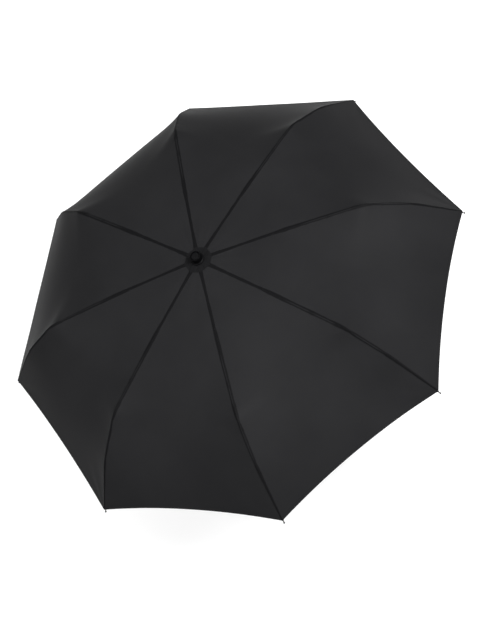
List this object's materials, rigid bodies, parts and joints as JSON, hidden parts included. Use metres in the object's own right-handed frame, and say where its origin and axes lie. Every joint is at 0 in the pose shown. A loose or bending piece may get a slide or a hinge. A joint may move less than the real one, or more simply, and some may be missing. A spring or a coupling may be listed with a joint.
{
  "type": "folding umbrella",
  "caption": "Open three-fold pocket umbrella: black cloth canopy on hinged folding ribs, telescoping steel shaft, sliding runner with catch button and short moulded handle.",
  "frame": {"origin": "centre of the handle's flat bottom face", "axes": "+Z along the shaft from the handle to the cap; +X along the first rib"},
  "size_m": [0.9748, 0.9748, 0.5761],
  "materials": {
    "canopy_cloth": "satin black pongee polyester, plain weave",
    "black_plastic": "moulded, fine satin",
    "soft_grip": "soft-touch coating",
    "black_steel": "black enamel on steel",
    "plated_steel": "bright nickel plate"
  },
  "bodies": {
    "handle": {"handle_grip": "soft_grip", "handle_end_cap": "black_plastic", "handle_collar": "black_plastic", "lower_tube": "plated_steel"},
    "middle_tube": {"middle_tube": "plated_steel"},
    "upper_tube": {"upper_tube": "black_steel", "crown": "black_plastic", "crown_wire": "plated_steel", "ferrule_cap": "black_plastic", "crown_rosette": "canopy_cloth", "canopy": "canopy_cloth"},
    "runner": {"runner": "black_plastic", "runner_wire": "plated_steel"},
    "runner_button": {"runner_button": "black_plastic"},
    "upper_rib_1": {"upper_rib_1": "black_steel"},
    "stretcher_1": {"stretcher_1": "black_steel"},
    "middle_rib_1": {"middle_rib_1": "black_steel"},
    "outer_rib_1": {"outer_rib_1": "black_steel", "rib_tip_1": "plated_steel"},
    "upper_rib_2": {"upper_rib_2": "black_steel"},
    "stretcher_2": {"stretcher_2": "black_steel"},
    "middle_rib_2": {"middle_rib_2": "black_steel"},
    "outer_rib_2": {"outer_rib_2": "black_steel", "rib_tip_2": "plated_steel"},
    "upper_rib_3": {"upper_rib_3": "black_steel"},
    "stretcher_3": {"stretcher_3": "black_steel"},
    "middle_rib_3": {"middle_rib_3": "black_steel"},
    "outer_rib_3": {"outer_rib_3": "black_steel", "rib_tip_3": "plated_steel"},
    "upper_rib_4": {"upper_rib_4": "black_steel"},
    "stretcher_4": {"stretcher_4": "black_steel"},
    "middle_rib_4": {"middle_rib_4": "black_steel"},
    "outer_rib_4": {"outer_rib_4": "black_steel", "rib_tip_4": "plated_steel"},
    "upper_rib_5": {"upper_rib_5": "black_steel"},
    "stretcher_5": {"stretcher_5": "black_steel"},
    "middle_rib_5": {"middle_rib_5": "black_steel"},
    "outer_rib_5": {"outer_rib_5": "black_steel", "rib_tip_5": "plated_steel"},
    "upper_rib_6": {"upper_rib_6": "black_steel"},
    "stretcher_6": {"stretcher_6": "black_steel"},
    "middle_rib_6": {"middle_rib_6": "black_steel"},
    "outer_rib_6": {"outer_rib_6": "black_steel", "rib_tip_6": "plated_steel"},
    "upper_rib_7": {"upper_rib_7": "black_steel"},
    "stretcher_7": {"stretcher_7": "black_steel"},
    "middle_rib_7": {"middle_rib_7": "black_steel"},
    "outer_rib_7": {"outer_rib_7": "black_steel", "rib_tip_7": "plated_steel"},
    "upper_rib_8": {"upper_rib_8": "black_steel"},
    "stretcher_8": {"stretcher_8": "black_steel"},
    "middle_rib_8": {"middle_rib_8": "black_steel"},
    "outer_rib_8": {"outer_rib_8": "black_steel", "rib_tip_8": "plated_steel"}
  },
  "joints": [
    {"name": "middle_tube_slide", "type": "slide", "parent": "handle", "child": "middle_tube", "axis": [0, 0, -1], "range_m": [0, 0.14]},
    {"name": "upper_tube_slide", "type": "slide", "parent": "middle_tube", "child": "upper_tube", "axis": [0, 0, -1], "range_m": [0, 0.14]},
    {"name": "rib_fold_1", "type": "hinge", "parent": "upper_tube", "child": "upper_rib_1", "pos_m": [0.012, 0, 0.5549], "axis": [0, 1, 0], "range_deg": [0, 78], "deforming": ["canopy"]},
    {"name": "stretcher_fold_1", "type": "hinge", "parent": "upper_rib_1", "child": "stretcher_1", "pos_m": [0.09483, 0, 0.5409], "axis": [0, 1, 0], "range_deg": [-156, 0]},
    {"name": "elbow_fold_1", "type": "hinge", "parent": "upper_rib_1", "child": "middle_rib_1", "pos_m": [0.16741, 0, 0.54638], "axis": [0, 1, 0], "range_deg": [-174.3, 0]},
    {"name": "knee_fold_1", "type": "hinge", "parent": "middle_rib_1", "child": "outer_rib_1", "pos_m": [0.33088, 0, 0.52351], "axis": [0, 1, 0], "range_deg": [0, 141.1]},
    {"name": "runner_turn", "type": "hinge", "parent": "stretcher_1", "child": "runner", "pos_m": [0.012, 0, 0.5269], "axis": [0, 1, 0], "range_deg": [0, 78]},
    {"name": "rib_fold_2", "type": "hinge", "parent": "upper_tube", "child": "upper_rib_2", "pos_m": [0.00848, 0.00848, 0.5549], "axis": [-0.7071, 0.7071, 0], "range_deg": [0, 78]},
    {"name": "stretcher_fold_2", "type": "hinge", "parent": "upper_rib_2", "child": "stretcher_2", "pos_m": [0.06705, 0.06705, 0.5409], "axis": [-0.7071, 0.7071, 0], "range_deg": [-156, 0]},
    {"name": "elbow_fold_2", "type": "hinge", "parent": "upper_rib_2", "child": "middle_rib_2", "pos_m": [0.11837, 0.11837, 0.54638], "axis": [-0.7071, 0.7071, 0], "range_deg": [-174.3, 0]},
    {"name": "knee_fold_2", "type": "hinge", "parent": "middle_rib_2", "child": "outer_rib_2", "pos_m": [0.23397, 0.23397, 0.52351], "axis": [-0.7071, 0.7071, 0], "range_deg": [0, 141.1]},
    {"name": "rib_fold_3", "type": "hinge", "parent": "upper_tube", "child": "upper_rib_3", "pos_m": [0, 0.012, 0.5549], "axis": [-1, 0, 0], "range_deg": [0, 78]},
    {"name": "stretcher_fold_3", "type": "hinge", "parent": "upper_rib_3", "child": "stretcher_3", "pos_m": [0, 0.09483, 0.5409], "axis": [-1, 0, 0], "range_deg": [-156, 0]},
    {"name": "elbow_fold_3", "type": "hinge", "parent": "upper_rib_3", "child": "middle_rib_3", "pos_m": [0, 0.16741, 0.54638], "axis": [-1, 0, 0], "range_deg": [-174.3, 0]},
    {"name": "knee_fold_3", "type": "hinge", "parent": "middle_rib_3", "child": "outer_rib_3", "pos_m": [0, 0.33088, 0.52351], "axis": [-1, 0, 0], "range_deg": [0, 141.1]},
    {"name": "rib_fold_4", "type": "hinge", "parent": "upper_tube", "child": "upper_rib_4", "pos_m": [-0.00848, 0.00848, 0.5549], "axis": [-0.7071, -0.7071, 0], "range_deg": [0, 78]},
    {"name": "stretcher_fold_4", "type": "hinge", "parent": "upper_rib_4", "child": "stretcher_4", "pos_m": [-0.06705, 0.06705, 0.5409], "axis": [-0.7071, -0.7071, 0], "range_deg": [-156, 0]},
    {"name": "elbow_fold_4", "type": "hinge", "parent": "upper_rib_4", "child": "middle_rib_4", "pos_m": [-0.11837, 0.11837, 0.54638], "axis": [-0.7071, -0.7071, 0], "range_deg": [-174.3, 0]},
    {"name": "knee_fold_4", "type": "hinge", "parent": "middle_rib_4", "child": "outer_rib_4", "pos_m": [-0.23397, 0.23397, 0.52351], "axis": [-0.7071, -0.7071, 0], "range_deg": [0, 141.1]},
    {"name": "rib_fold_5", "type": "hinge", "parent": "upper_tube", "child": "upper_rib_5", "pos_m": [-0.012, 0, 0.5549], "axis": [0, -1, 0], "range_deg": [0, 78]},
    {"name": "stretcher_fold_5", "type": "hinge", "parent": "upper_rib_5", "child": "stretcher_5", "pos_m": [-0.09483, 0, 0.5409], "axis": [0, -1, 0], "range_deg": [-156, 0]},
    {"name": "elbow_fold_5", "type": "hinge", "parent": "upper_rib_5", "child": "middle_rib_5", "pos_m": [-0.16741, 0, 0.54638], "axis": [0, -1, 0], "range_deg": [-174.3, 0]},
    {"name": "knee_fold_5", "type": "hinge", "parent": "middle_rib_5", "child": "outer_rib_5", "pos_m": [-0.33088, 0, 0.52351], "axis": [0, -1, 0], "range_deg": [0, 141.1]},
    {"name": "rib_fold_6", "type": "hinge", "parent": "upper_tube", "child": "upper_rib_6", "pos_m": [-0.00848, -0.00848, 0.5549], "axis": [0.7071, -0.7071, 0], "range_deg": [0, 78]},
    {"name": "stretcher_fold_6", "type": "hinge", "parent": "upper_rib_6", "child": "stretcher_6", "pos_m": [-0.06705, -0.06705, 0.5409], "axis": [0.7071, -0.7071, 0], "range_deg": [-156, 0]},
    {"name": "elbow_fold_6", "type": "hinge", "parent": "upper_rib_6", "child": "middle_rib_6", "pos_m": [-0.11837, -0.11837, 0.54638], "axis": [0.7071, -0.7071, 0], "range_deg": [-174.3, 0]},
    {"name": "knee_fold_6", "type": "hinge", "parent": "middle_rib_6", "child": "outer_rib_6", "pos_m": [-0.23397, -0.23397, 0.52351], "axis": [0.7071, -0.7071, 0], "range_deg": [0, 141.1]},
    {"name": "rib_fold_7", "type": "hinge", "parent": "upper_tube", "child": "upper_rib_7", "pos_m": [0, -0.012, 0.5549], "axis": [1, 0, 0], "range_deg": [0, 78]},
    {"name": "stretcher_fold_7", "type": "hinge", "parent": "upper_rib_7", "child": "stretcher_7", "pos_m": [0, -0.09483, 0.5409], "axis": [1, 0, 0], "range_deg": [-156, 0]},
    {"name": "elbow_fold_7", "type": "hinge", "parent": "upper_rib_7", "child": "middle_rib_7", "pos_m": [0, -0.16741, 0.54638], "axis": [1, 0, 0], "range_deg": [-174.3, 0]},
    {"name": "knee_fold_7", "type": "hinge", "parent": "middle_rib_7", "child": "outer_rib_7", "pos_m": [0, -0.33088, 0.52351], "axis": [1, 0, 0], "range_deg": [0, 141.1]},
    {"name": "rib_fold_8", "type": "hinge", "parent": "upper_tube", "child": "upper_rib_8", "pos_m": [0.00848, -0.00848, 0.5549], "axis": [0.7071, 0.7071, 0], "range_deg": [0, 78]},
    {"name": "stretcher_fold_8", "type": "hinge", "parent": "upper_rib_8", "child": "stretcher_8", "pos_m": [0.06705, -0.06705, 0.5409], "axis": [0.7071, 0.7071, 0], "range_deg": [-156, 0]},
    {"name": "elbow_fold_8", "type": "hinge", "parent": "upper_rib_8", "child": "middle_rib_8", "pos_m": [0.11837, -0.11837, 0.54638], "axis": [0.7071, 0.7071, 0], "range_deg": [-174.3, 0]},
    {"name": "knee_fold_8", "type": "hinge", "parent": "middle_rib_8", "child": "outer_rib_8", "pos_m": [0.23397, -0.23397, 0.52351], "axis": [0.7071, 0.7071, 0], "range_deg": [0, 141.1]},
    {"name": "button_press", "type": "slide", "parent": "runner", "child": "runner_button", "axis": [-1, 0, 0], "range_m": [0, 0.0016], "stiffness_N_per_m": 500}
  ],
  "couplings": [
    {"joint": "stretcher_fold_1", "follows": "rib_fold_1", "ratio": -2},
    {"joint": "elbow_fold_1", "follows": "rib_fold_1", "ratio": -2.2346},
    {"joint": "knee_fold_1", "follows": "rib_fold_1", "ratio": 1.8086},
    {"joint": "runner_turn", "follows": "rib_fold_1", "ratio": 1},
    {"joint": "rib_fold_2", "follows": "rib_fold_1", "ratio": 1},
    {"joint": "stretcher_fold_2", "follows": "rib_fold_1", "ratio": -2},
    {"joint": "elbow_fold_2", "follows": "rib_fold_1", "ratio": -2.2346},
    {"joint": "knee_fold_2", "follows": "rib_fold_1", "ratio": 1.8086},
    {"joint": "rib_fold_3", "follows": "rib_fold_1", "ratio": 1},
    {"joint": "stretcher_fold_3", "follows": "rib_fold_1", "ratio": -2},
    {"joint": "elbow_fold_3", "follows": "rib_fold_1", "ratio": -2.2346},
    {"joint": "knee_fold_3", "follows": "rib_fold_1", "ratio": 1.8086},
    {"joint": "rib_fold_4", "follows": "rib_fold_1", "ratio": 1},
    {"joint": "stretcher_fold_4", "follows": "rib_fold_1", "ratio": -2},
    {"joint": "elbow_fold_4", "follows": "rib_fold_1", "ratio": -2.2346},
    {"joint": "knee_fold_4", "follows": "rib_fold_1", "ratio": 1.8086},
    {"joint": "rib_fold_5", "follows": "rib_fold_1", "ratio": 1},
    {"joint": "stretcher_fold_5", "follows": "rib_fold_1", "ratio": -2},
    {"joint": "elbow_fold_5", "follows": "rib_fold_1", "ratio": -2.2346},
    {"joint": "knee_fold_5", "follows": "rib_fold_1", "ratio": 1.8086},
    {"joint": "rib_fold_6", "follows": "rib_fold_1", "ratio": 1},
    {"joint": "stretcher_fold_6", "follows": "rib_fold_1", "ratio": -2},
    {"joint": "elbow_fold_6", "follows": "rib_fold_1", "ratio": -2.2346},
    {"joint": "knee_fold_6", "follows": "rib_fold_1", "ratio": 1.8086},
    {"joint": "rib_fold_7", "follows": "rib_fold_1", "ratio": 1},
    {"joint": "stretcher_fold_7", "follows": "rib_fold_1", "ratio": -2},
    {"joint": "elbow_fold_7", "follows": "rib_fold_1", "ratio": -2.2346},
    {"joint": "knee_fold_7", "follows": "rib_fold_1", "ratio": 1.8086},
    {"joint": "rib_fold_8", "follows": "rib_fold_1", "ratio": 1},
    {"joint": "stretcher_fold_8", "follows": "rib_fold_1", "ratio": -2},
    {"joint": "elbow_fold_8", "follows": "rib_fold_1", "ratio": -2.2346},
    {"joint": "knee_fold_8", "follows": "rib_fold_1", "ratio": 1.8086}
  ]
}
